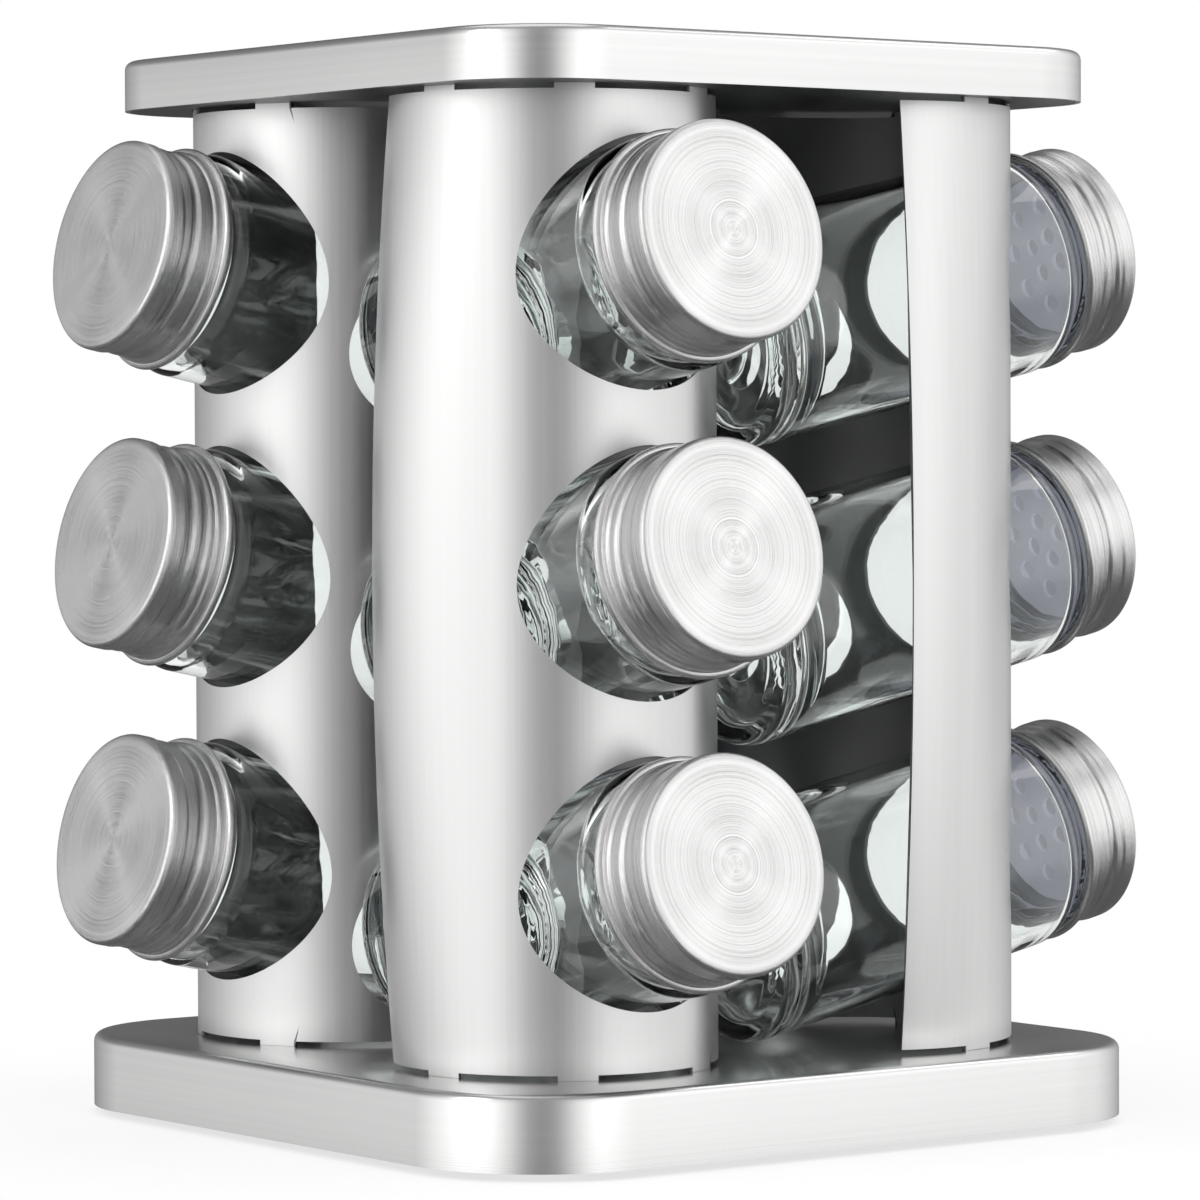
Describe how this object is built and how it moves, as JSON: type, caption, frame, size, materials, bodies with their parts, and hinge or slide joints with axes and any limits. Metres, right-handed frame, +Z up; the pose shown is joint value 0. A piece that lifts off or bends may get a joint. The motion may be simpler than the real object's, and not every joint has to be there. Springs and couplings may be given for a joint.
{
  "type": "spice carousel",
  "caption": "Square revolving rack of curved steel panels whose round holes hold tilted glass spice jars with screw lids.",
  "frame": {"origin": "on the rack's turning axis, at the worktop, under the rubber feet", "axes": "+Z up along the turning axis; the front panel faces -Y, the right panel +X, the back panel +Y and the left panel -X"},
  "size_m": [0.1908, 0.1908, 0.211],
  "materials": {
    "tray_steel": "brushed stainless, lines along one side",
    "panel_steel": "brushed stainless, upright lines",
    "inner_steel": "satin mill finish",
    "lid_steel": "spun face, bright rolled bead",
    "zinc_steel": "zinc plated, satin",
    "rivet_steel": "plain rivet steel",
    "ball_steel": "polished",
    "jar_glass": "clear flint glass",
    "shaker_plastic": "milky polypropylene",
    "liner_foam": "closed-cell foam",
    "foot_rubber": "black rubber"
  },
  "bodies": {
    "stand": {"foot_plate": "zinc_steel", "pivot_rivet": "rivet_steel", "rubber_feet": "foot_rubber"},
    "ball_ring": {"bearing_balls": "ball_steel"},
    "carousel": {"turntable_plate": "zinc_steel", "base_cover": "tray_steel", "top_cap": "tray_steel", "top_plate": "inner_steel", "panel_front": "panel_steel", "panel_right": "panel_steel", "panel_back": "panel_steel", "panel_left": "panel_steel"},
    "jar_front_upper": {"jar_front_upper": "jar_glass", "shaker_insert_front_upper": "shaker_plastic"},
    "liner_front_upper": {"lid_liner_front_upper": "liner_foam"},
    "lid_front_upper": {"lid_front_upper": "lid_steel"},
    "jar_front_middle": {"jar_front_middle": "jar_glass", "shaker_insert_front_middle": "shaker_plastic"},
    "liner_front_middle": {"lid_liner_front_middle": "liner_foam"},
    "lid_front_middle": {"lid_front_middle": "lid_steel"},
    "jar_front_lower": {"jar_front_lower": "jar_glass", "shaker_insert_front_lower": "shaker_plastic"},
    "liner_front_lower": {"lid_liner_front_lower": "liner_foam"},
    "lid_front_lower": {"lid_front_lower": "lid_steel"},
    "jar_right_upper": {"jar_right_upper": "jar_glass", "shaker_insert_right_upper": "shaker_plastic"},
    "liner_right_upper": {"lid_liner_right_upper": "liner_foam"},
    "lid_right_upper": {"lid_right_upper": "lid_steel"},
    "jar_right_middle": {"jar_right_middle": "jar_glass", "shaker_insert_right_middle": "shaker_plastic"},
    "liner_right_middle": {"lid_liner_right_middle": "liner_foam"},
    "lid_right_middle": {"lid_right_middle": "lid_steel"},
    "jar_right_lower": {"jar_right_lower": "jar_glass", "shaker_insert_right_lower": "shaker_plastic"},
    "liner_right_lower": {"lid_liner_right_lower": "liner_foam"},
    "lid_right_lower": {"lid_right_lower": "lid_steel"},
    "jar_back_upper": {"jar_back_upper": "jar_glass", "shaker_insert_back_upper": "shaker_plastic"},
    "liner_back_upper": {"lid_liner_back_upper": "liner_foam"},
    "lid_back_upper": {"lid_back_upper": "lid_steel"},
    "jar_back_middle": {"jar_back_middle": "jar_glass", "shaker_insert_back_middle": "shaker_plastic"},
    "liner_back_middle": {"lid_liner_back_middle": "liner_foam"},
    "lid_back_middle": {"lid_back_middle": "lid_steel"},
    "jar_back_lower": {"jar_back_lower": "jar_glass", "shaker_insert_back_lower": "shaker_plastic"},
    "liner_back_lower": {"lid_liner_back_lower": "liner_foam"},
    "lid_back_lower": {"lid_back_lower": "lid_steel"},
    "jar_left_upper": {"jar_left_upper": "jar_glass", "shaker_insert_left_upper": "shaker_plastic"},
    "liner_left_upper": {"lid_liner_left_upper": "liner_foam"},
    "lid_left_upper": {"lid_left_upper": "lid_steel"},
    "jar_left_middle": {"jar_left_middle": "jar_glass", "shaker_insert_left_middle": "shaker_plastic"},
    "liner_left_middle": {"lid_liner_left_middle": "liner_foam"},
    "lid_left_middle": {"lid_left_middle": "lid_steel"},
    "jar_left_lower": {"jar_left_lower": "jar_glass", "shaker_insert_left_lower": "shaker_plastic"},
    "liner_left_lower": {"lid_liner_left_lower": "liner_foam"},
    "lid_left_lower": {"lid_left_lower": "lid_steel"}
  },
  "joints": [
    {"name": "carousel_spin", "type": "hinge", "parent": "stand", "child": "carousel", "pos_m": [0, 0, 0.01], "axis": [0, 0, 1], "continuous": true},
    {"name": "ball_ring_roll", "type": "hinge", "parent": "stand", "child": "ball_ring", "pos_m": [0, 0, 0.0067], "axis": [0, 0, 1], "continuous": true},
    {"name": "jar_pull_front_upper", "type": "slide", "parent": "carousel", "child": "jar_front_upper", "axis": [0, -0.9789, 0.2045], "range_m": [0, 0.1]},
    {"name": "lid_lift_front_upper", "type": "slide", "parent": "jar_front_upper", "child": "liner_front_upper", "axis": [0, -0.9789, 0.2045], "range_m": [0, 0.0049]},
    {"name": "lid_turn_front_upper", "type": "hinge", "parent": "liner_front_upper", "child": "lid_front_upper", "pos_m": [-0.037, -0.0914, 0.1734], "axis": [0, -0.9789, 0.2045], "range_deg": [0, 540]},
    {"name": "jar_pull_front_middle", "type": "slide", "parent": "carousel", "child": "jar_front_middle", "axis": [0, -0.9789, 0.2045], "range_m": [0, 0.1]},
    {"name": "lid_lift_front_middle", "type": "slide", "parent": "jar_front_middle", "child": "liner_front_middle", "axis": [0, -0.9789, 0.2045], "range_m": [0, 0.0049]},
    {"name": "lid_turn_front_middle", "type": "hinge", "parent": "liner_front_middle", "child": "lid_front_middle", "pos_m": [-0.037, -0.0914, 0.1154], "axis": [0, -0.9789, 0.2045], "range_deg": [0, 540]},
    {"name": "jar_pull_front_lower", "type": "slide", "parent": "carousel", "child": "jar_front_lower", "axis": [0, -0.9789, 0.2045], "range_m": [0, 0.1]},
    {"name": "lid_lift_front_lower", "type": "slide", "parent": "jar_front_lower", "child": "liner_front_lower", "axis": [0, -0.9789, 0.2045], "range_m": [0, 0.0049]},
    {"name": "lid_turn_front_lower", "type": "hinge", "parent": "liner_front_lower", "child": "lid_front_lower", "pos_m": [-0.037, -0.0914, 0.0574], "axis": [0, -0.9789, 0.2045], "range_deg": [0, 540]},
    {"name": "jar_pull_right_upper", "type": "slide", "parent": "carousel", "child": "jar_right_upper", "axis": [0.9789, 0, 0.2045], "range_m": [0, 0.1]},
    {"name": "lid_lift_right_upper", "type": "slide", "parent": "jar_right_upper", "child": "liner_right_upper", "axis": [0.9789, 0, 0.2045], "range_m": [0, 0.0049]},
    {"name": "lid_turn_right_upper", "type": "hinge", "parent": "liner_right_upper", "child": "lid_right_upper", "pos_m": [0.0914, -0.037, 0.1734], "axis": [0.9789, 0, 0.2045], "range_deg": [0, 540]},
    {"name": "jar_pull_right_middle", "type": "slide", "parent": "carousel", "child": "jar_right_middle", "axis": [0.9789, 0, 0.2045], "range_m": [0, 0.1]},
    {"name": "lid_lift_right_middle", "type": "slide", "parent": "jar_right_middle", "child": "liner_right_middle", "axis": [0.9789, 0, 0.2045], "range_m": [0, 0.0049]},
    {"name": "lid_turn_right_middle", "type": "hinge", "parent": "liner_right_middle", "child": "lid_right_middle", "pos_m": [0.0914, -0.037, 0.1154], "axis": [0.9789, 0, 0.2045], "range_deg": [0, 540]},
    {"name": "jar_pull_right_lower", "type": "slide", "parent": "carousel", "child": "jar_right_lower", "axis": [0.9789, 0, 0.2045], "range_m": [0, 0.1]},
    {"name": "lid_lift_right_lower", "type": "slide", "parent": "jar_right_lower", "child": "liner_right_lower", "axis": [0.9789, 0, 0.2045], "range_m": [0, 0.0049]},
    {"name": "lid_turn_right_lower", "type": "hinge", "parent": "liner_right_lower", "child": "lid_right_lower", "pos_m": [0.0914, -0.037, 0.0574], "axis": [0.9789, 0, 0.2045], "range_deg": [0, 540]},
    {"name": "jar_pull_back_upper", "type": "slide", "parent": "carousel", "child": "jar_back_upper", "axis": [0, 0.9789, 0.2045], "range_m": [0, 0.1]},
    {"name": "lid_lift_back_upper", "type": "slide", "parent": "jar_back_upper", "child": "liner_back_upper", "axis": [0, 0.9789, 0.2045], "range_m": [0, 0.0049]},
    {"name": "lid_turn_back_upper", "type": "hinge", "parent": "liner_back_upper", "child": "lid_back_upper", "pos_m": [0.037, 0.0914, 0.1734], "axis": [0, 0.9789, 0.2045], "range_deg": [0, 540]},
    {"name": "jar_pull_back_middle", "type": "slide", "parent": "carousel", "child": "jar_back_middle", "axis": [0, 0.9789, 0.2045], "range_m": [0, 0.1]},
    {"name": "lid_lift_back_middle", "type": "slide", "parent": "jar_back_middle", "child": "liner_back_middle", "axis": [0, 0.9789, 0.2045], "range_m": [0, 0.0049]},
    {"name": "lid_turn_back_middle", "type": "hinge", "parent": "liner_back_middle", "child": "lid_back_middle", "pos_m": [0.037, 0.0914, 0.1154], "axis": [0, 0.9789, 0.2045], "range_deg": [0, 540]},
    {"name": "jar_pull_back_lower", "type": "slide", "parent": "carousel", "child": "jar_back_lower", "axis": [0, 0.9789, 0.2045], "range_m": [0, 0.1]},
    {"name": "lid_lift_back_lower", "type": "slide", "parent": "jar_back_lower", "child": "liner_back_lower", "axis": [0, 0.9789, 0.2045], "range_m": [0, 0.0049]},
    {"name": "lid_turn_back_lower", "type": "hinge", "parent": "liner_back_lower", "child": "lid_back_lower", "pos_m": [0.037, 0.0914, 0.0574], "axis": [0, 0.9789, 0.2045], "range_deg": [0, 540]},
    {"name": "jar_pull_left_upper", "type": "slide", "parent": "carousel", "child": "jar_left_upper", "axis": [-0.9789, 0, 0.2045], "range_m": [0, 0.1]},
    {"name": "lid_lift_left_upper", "type": "slide", "parent": "jar_left_upper", "child": "liner_left_upper", "axis": [-0.9789, 0, 0.2045], "range_m": [0, 0.0049]},
    {"name": "lid_turn_left_upper", "type": "hinge", "parent": "liner_left_upper", "child": "lid_left_upper", "pos_m": [-0.0914, 0.037, 0.1734], "axis": [-0.9789, 0, 0.2045], "range_deg": [0, 540]},
    {"name": "jar_pull_left_middle", "type": "slide", "parent": "carousel", "child": "jar_left_middle", "axis": [-0.9789, 0, 0.2045], "range_m": [0, 0.1]},
    {"name": "lid_lift_left_middle", "type": "slide", "parent": "jar_left_middle", "child": "liner_left_middle", "axis": [-0.9789, 0, 0.2045], "range_m": [0, 0.0049]},
    {"name": "lid_turn_left_middle", "type": "hinge", "parent": "liner_left_middle", "child": "lid_left_middle", "pos_m": [-0.0914, 0.037, 0.1154], "axis": [-0.9789, 0, 0.2045], "range_deg": [0, 540]},
    {"name": "jar_pull_left_lower", "type": "slide", "parent": "carousel", "child": "jar_left_lower", "axis": [-0.9789, 0, 0.2045], "range_m": [0, 0.1]},
    {"name": "lid_lift_left_lower", "type": "slide", "parent": "jar_left_lower", "child": "liner_left_lower", "axis": [-0.9789, 0, 0.2045], "range_m": [0, 0.0049]},
    {"name": "lid_turn_left_lower", "type": "hinge", "parent": "liner_left_lower", "child": "lid_left_lower", "pos_m": [-0.0914, 0.037, 0.0574], "axis": [-0.9789, 0, 0.2045], "range_deg": [0, 540]}
  ],
  "couplings": [
    {"joint": "ball_ring_roll", "follows": "carousel_spin", "ratio": 0.5},
    {"joint": "lid_lift_front_upper", "follows": "lid_turn_front_upper", "m_per_rad": 0.0005093},
    {"joint": "lid_lift_front_middle", "follows": "lid_turn_front_middle", "m_per_rad": 0.0005093},
    {"joint": "lid_lift_front_lower", "follows": "lid_turn_front_lower", "m_per_rad": 0.0005093},
    {"joint": "lid_lift_right_upper", "follows": "lid_turn_right_upper", "m_per_rad": 0.0005093},
    {"joint": "lid_lift_right_middle", "follows": "lid_turn_right_middle", "m_per_rad": 0.0005093},
    {"joint": "lid_lift_right_lower", "follows": "lid_turn_right_lower", "m_per_rad": 0.0005093},
    {"joint": "lid_lift_back_upper", "follows": "lid_turn_back_upper", "m_per_rad": 0.0005093},
    {"joint": "lid_lift_back_middle", "follows": "lid_turn_back_middle", "m_per_rad": 0.0005093},
    {"joint": "lid_lift_back_lower", "follows": "lid_turn_back_lower", "m_per_rad": 0.0005093},
    {"joint": "lid_lift_left_upper", "follows": "lid_turn_left_upper", "m_per_rad": 0.0005093},
    {"joint": "lid_lift_left_middle", "follows": "lid_turn_left_middle", "m_per_rad": 0.0005093},
    {"joint": "lid_lift_left_lower", "follows": "lid_turn_left_lower", "m_per_rad": 0.0005093}
  ]
}
